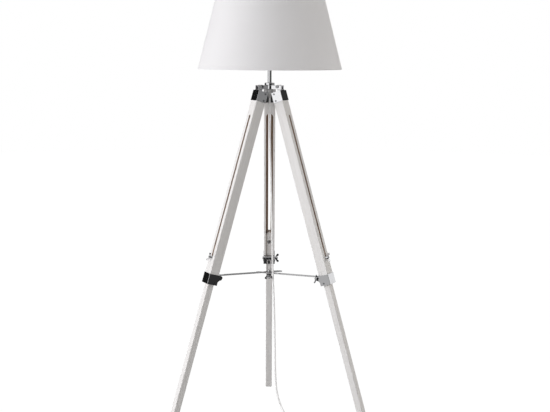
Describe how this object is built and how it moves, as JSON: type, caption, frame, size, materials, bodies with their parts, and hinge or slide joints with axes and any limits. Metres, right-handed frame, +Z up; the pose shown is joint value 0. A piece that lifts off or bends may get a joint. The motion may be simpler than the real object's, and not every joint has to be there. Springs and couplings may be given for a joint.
{
  "type": "tripod floor lamp",
  "caption": "Floor lamp on three sliding wooden legs joined by slotted braces, with a tapered drum shade, a short metal stem and a hanging mains cord with an inline switch.",
  "frame": {"origin": "on the floor, on the lamp's vertical axis, midway between the three feet", "axes": "+Z up, +Y towards the back leg, +X to the right of someone who faces the lamp"},
  "size_m": [0.6674, 0.6045, 1.47],
  "materials": {
    "painted_wood": "satin paint on wood, thinly worn at the edges",
    "chrome": "polished",
    "zinc_screws": "polished",
    "shade_fabric": "woven linen look, matt",
    "shade_wire": "white powder coat",
    "holder_plastic": "gloss",
    "holder_insert": "plain",
    "bulb_glass": "opal",
    "bulb_cap": "bright",
    "cord_pvc": "satin",
    "tie": "satin",
    "switch_plastic": "gloss",
    "plug_plastic": "satin",
    "plug_pins": "nickel plated",
    "rubber_pad": "matt"
  },
  "bodies": {
    "head": {"head_casting": "chrome", "hinge_screws": "zinc_screws", "head_disc": "chrome", "stem_tube": "chrome", "threaded_pipe": "chrome", "strain_relief": "cord_pvc", "holder_base": "holder_plastic", "holder_shell": "holder_plastic", "clamp_ring": "holder_plastic", "holder_insert": "holder_insert", "bulb_cap": "bulb_cap", "bulb_glass": "bulb_glass", "shade_fabric": "shade_fabric", "shade_top_ring": "shade_wire", "shade_frame": "shade_wire", "cord_upper": "cord_pvc", "cord_lower": "cord_pvc", "cord_coil": "cord_pvc", "coil_tie": "tie", "switch_base": "switch_plastic", "switch_cover": "switch_plastic", "plug_body": "plug_plastic", "plug_pins": "plug_pins"},
    "upper_leg_left": {"upper_leg_left": "painted_wood", "leg_cap_left": "chrome", "collar_left": "chrome", "bracket_screws_left": "zinc_screws", "brace_bolt_left": "chrome"},
    "upper_leg_right": {"upper_leg_right": "painted_wood", "leg_cap_right": "chrome", "collar_right": "chrome", "bracket_screws_right": "zinc_screws", "brace_bolt_right": "chrome"},
    "upper_leg_back": {"upper_leg_back": "painted_wood", "leg_cap_back": "chrome", "collar_back": "chrome", "bracket_screws_back": "zinc_screws", "brace_bolt_back": "chrome"},
    "lower_leg_left": {"lower_leg_left": "painted_wood", "foot_pad_left": "rubber_pad", "clamp_bolt_left": "chrome"},
    "lower_leg_right": {"lower_leg_right": "painted_wood", "foot_pad_right": "rubber_pad", "clamp_bolt_right": "chrome"},
    "lower_leg_back": {"lower_leg_back": "painted_wood", "foot_pad_back": "rubber_pad", "clamp_bolt_back": "chrome"},
    "brace_left": {"brace_left": "chrome"},
    "brace_right": {"brace_right": "chrome"},
    "brace_back": {"brace_back": "chrome"},
    "clamp_wing_nut_left": {"clamp_wing_nut_left": "chrome"},
    "clamp_wing_nut_right": {"clamp_wing_nut_right": "chrome"},
    "clamp_wing_nut_back": {"clamp_wing_nut_back": "chrome"},
    "brace_wing_nut_left": {"brace_wing_nut_left": "chrome"},
    "brace_wing_nut_right": {"brace_wing_nut_right": "chrome"},
    "brace_wing_nut_back": {"brace_wing_nut_back": "chrome"},
    "hub": {"hub_bolt": "chrome", "hub_washers": "chrome"},
    "hub_wing_nut": {"hub_wing_nut": "chrome"},
    "switch_button": {"switch_button": "switch_plastic"}
  },
  "joints": [
    {"name": "left_leg_fold", "type": "hinge", "parent": "head", "child": "upper_leg_left", "pos_m": [-0.02771, -0.016, 1.1165], "axis": [0.5, -0.866, 0], "range_deg": [0, 11]},
    {"name": "right_leg_fold", "type": "hinge", "parent": "head", "child": "upper_leg_right", "pos_m": [0.02771, -0.016, 1.1165], "axis": [0.5, 0.866, 0], "range_deg": [0, 11]},
    {"name": "back_leg_fold", "type": "hinge", "parent": "head", "child": "upper_leg_back", "pos_m": [0, 0.032, 1.1165], "axis": [-1, 0, 0], "range_deg": [0, 11]},
    {"name": "left_brace_tilt", "type": "hinge", "parent": "upper_leg_left", "child": "brace_left", "pos_m": [-0.15953, -0.09211, 0.5265], "axis": [0.5, -0.866, 0], "range_deg": [-11, 0]},
    {"name": "right_brace_tilt", "type": "hinge", "parent": "upper_leg_right", "child": "brace_right", "pos_m": [0.15953, -0.09211, 0.5265], "axis": [0.5, 0.866, 0], "range_deg": [-11, 0]},
    {"name": "back_brace_tilt", "type": "hinge", "parent": "upper_leg_back", "child": "brace_back", "pos_m": [0, 0.18421, 0.5265], "axis": [-1, 0, 0], "range_deg": [-11, 0]},
    {"name": "hub_slide", "type": "slide", "parent": "brace_left", "child": "hub", "axis": [-0.8648, -0.4993, 0.0523], "range_m": [0, 0.1156]},
    {"name": "left_lower_leg_slide", "type": "slide", "parent": "upper_leg_left", "child": "lower_leg_left", "axis": [0.2546, 0.147, 0.9558], "range_m": [0, 0.43]},
    {"name": "right_lower_leg_slide", "type": "slide", "parent": "upper_leg_right", "child": "lower_leg_right", "axis": [-0.2546, 0.147, 0.9558], "range_m": [0, 0.43]},
    {"name": "back_lower_leg_slide", "type": "slide", "parent": "upper_leg_back", "child": "lower_leg_back", "axis": [0, -0.294, 0.9558], "range_m": [0, 0.43]},
    {"name": "left_clamp_nut_turn", "type": "hinge", "parent": "lower_leg_left", "child": "clamp_wing_nut_left", "pos_m": [-0.17818, -0.10287, 0.59085], "axis": [-0.8277, -0.4779, 0.294], "continuous": true},
    {"name": "right_clamp_nut_turn", "type": "hinge", "parent": "lower_leg_right", "child": "clamp_wing_nut_right", "pos_m": [0.17818, -0.10287, 0.59085], "axis": [0.8277, -0.4779, 0.294], "continuous": true},
    {"name": "back_clamp_nut_turn", "type": "hinge", "parent": "lower_leg_back", "child": "clamp_wing_nut_back", "pos_m": [0, 0.20574, 0.59085], "axis": [0, 0.9558, 0.294], "continuous": true},
    {"name": "left_brace_nut_turn", "type": "hinge", "parent": "upper_leg_left", "child": "brace_wing_nut_left", "pos_m": [-0.16928, -0.07522, 0.5265], "axis": [-0.5, 0.866, 0], "continuous": true},
    {"name": "right_brace_nut_turn", "type": "hinge", "parent": "upper_leg_right", "child": "brace_wing_nut_right", "pos_m": [0.14978, -0.10899, 0.5265], "axis": [-0.5, -0.866, 0], "continuous": true},
    {"name": "back_brace_nut_turn", "type": "hinge", "parent": "upper_leg_back", "child": "brace_wing_nut_back", "pos_m": [0.0195, 0.18421, 0.5265], "axis": [1, 0, 0], "continuous": true},
    {"name": "hub_nut_turn", "type": "hinge", "parent": "hub", "child": "hub_wing_nut", "pos_m": [0, 0, 0.51078], "axis": [0, 0, -1], "continuous": true},
    {"name": "switch_press", "type": "slide", "parent": "head", "child": "switch_button", "axis": [0, 0, -1], "range_m": [0, 0.0025], "stiffness_N_per_m": 400, "springref_m": -0.001}
  ],
  "couplings": [
    {"joint": "right_leg_fold", "follows": "left_leg_fold", "ratio": 1},
    {"joint": "back_leg_fold", "follows": "left_leg_fold", "ratio": 1},
    {"joint": "left_brace_tilt", "follows": "left_leg_fold", "ratio": -1},
    {"joint": "right_brace_tilt", "follows": "left_leg_fold", "ratio": -1},
    {"joint": "back_brace_tilt", "follows": "left_leg_fold", "ratio": -1},
    {"joint": "hub_slide", "follows": "left_leg_fold", "m_per_rad": 0.6005}
  ]
}
